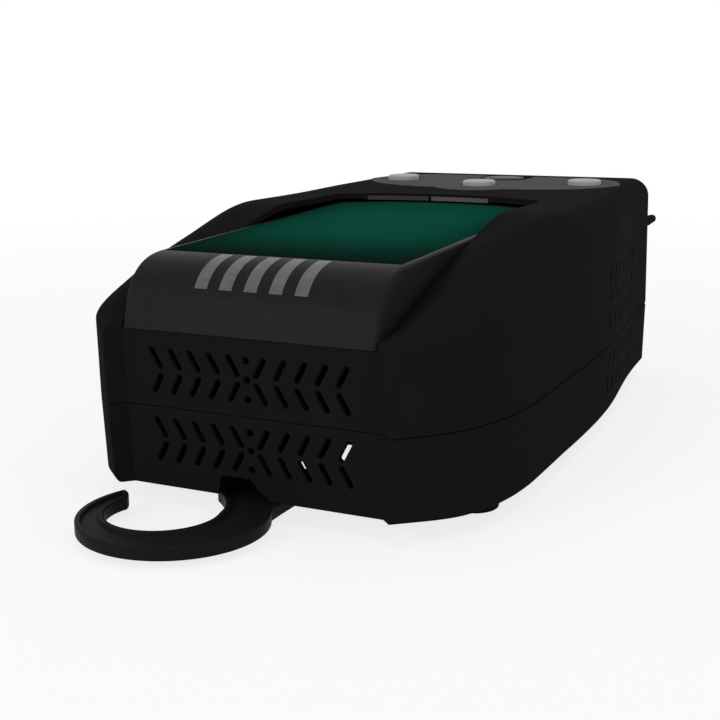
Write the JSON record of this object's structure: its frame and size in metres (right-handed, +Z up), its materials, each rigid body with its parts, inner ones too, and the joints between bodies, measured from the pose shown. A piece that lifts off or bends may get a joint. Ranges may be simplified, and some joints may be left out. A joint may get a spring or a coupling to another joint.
{
  "type": "car battery charger",
  "caption": "Bench car battery charger with vented clamshell case, sloped display panel with light bars, push-button console and a fold-out hanging hook under one end.",
  "frame": {"origin": "middle of the base at rest, on the surface the feet stand on, halfway between the hook's front and the tip of the output lead's boot", "axes": "+Z up, -Y towards the hook end with the vented wall and light bars, +Y towards the cable end, +X to the right seen from the hook end"},
  "size_m": [0.16, 0.3717, 0.0994],
  "materials": {
    "case_black": "fine moulded texture",
    "fascia_black": "satin",
    "label_green": "satin printed film, plain",
    "light_bar_clear": "frosted",
    "console_grey": "fine matt film",
    "lens_dark": "gloss",
    "window_grey": "satin",
    "button_grey": "satin",
    "hook_black": "satin",
    "steel": "zinc plated",
    "plate_pale": "plain film",
    "rubber_black": "matt",
    "board_green": "solder mask",
    "ferrite": "sintered",
    "copper": "enamelled wire",
    "aluminium": "extruded",
    "component_dark": "moulded"
  },
  "bodies": {
    "case": {"upper_shell": "case_black", "lower_shell": "case_black", "fascia": "fascia_black", "label_sheet": "label_green", "light_bar_1": "light_bar_clear", "light_bar_2": "light_bar_clear", "light_bar_3": "light_bar_clear", "light_bar_4": "light_bar_clear", "light_bar_5": "light_bar_clear", "console_overlay": "console_grey", "status_lens": "lens_dark", "status_lamp": "button_grey", "status_window_left": "window_grey", "status_window_right": "window_grey", "hook_pin": "steel", "end_plate": "plate_pale", "output_lead_boot": "rubber_black", "mains_gland": "rubber_black", "foot_1": "rubber_black", "foot_2": "rubber_black", "foot_3": "rubber_black", "foot_4": "rubber_black", "case_screw_1": "steel", "case_screw_2": "steel", "case_screw_3": "steel", "case_screw_4": "steel", "main_board": "board_green", "board_screw_1": "steel", "board_screw_2": "steel", "board_screw_3": "steel", "board_screw_4": "steel", "transformer_core": "ferrite", "transformer_winding": "copper", "heat_sink": "aluminium", "power_transistor_1": "component_dark", "power_transistor_2": "component_dark", "power_transistor_3": "component_dark", "bulk_capacitor_1": "component_dark", "bulk_capacitor_2": "component_dark", "filter_choke": "copper", "relay": "component_dark", "fuse": "component_dark", "lamp_board": "board_green", "button_board": "board_green", "switch_left": "component_dark", "switch_middle": "component_dark", "switch_right": "component_dark"},
    "hook": {"hook": "hook_black"},
    "button_left": {"button_left": "button_grey"},
    "button_middle": {"button_middle": "button_grey"},
    "button_right": {"button_right": "button_grey"}
  },
  "joints": [
    {"name": "hook_fold", "type": "hinge", "parent": "case", "child": "hook", "pos_m": [-0.0035, -0.1146, 0.0073], "axis": [1, 0, 0], "range_deg": [0, 180]},
    {"name": "button_left_press", "type": "slide", "parent": "case", "child": "button_left", "axis": [0, 0, -1], "range_m": [0, 0.0012], "stiffness_N_per_m": 1500},
    {"name": "button_middle_press", "type": "slide", "parent": "case", "child": "button_middle", "axis": [0, 0, -1], "range_m": [0, 0.0012], "stiffness_N_per_m": 1500},
    {"name": "button_right_press", "type": "slide", "parent": "case", "child": "button_right", "axis": [0, 0, -1], "range_m": [0, 0.0012], "stiffness_N_per_m": 1500}
  ]
}
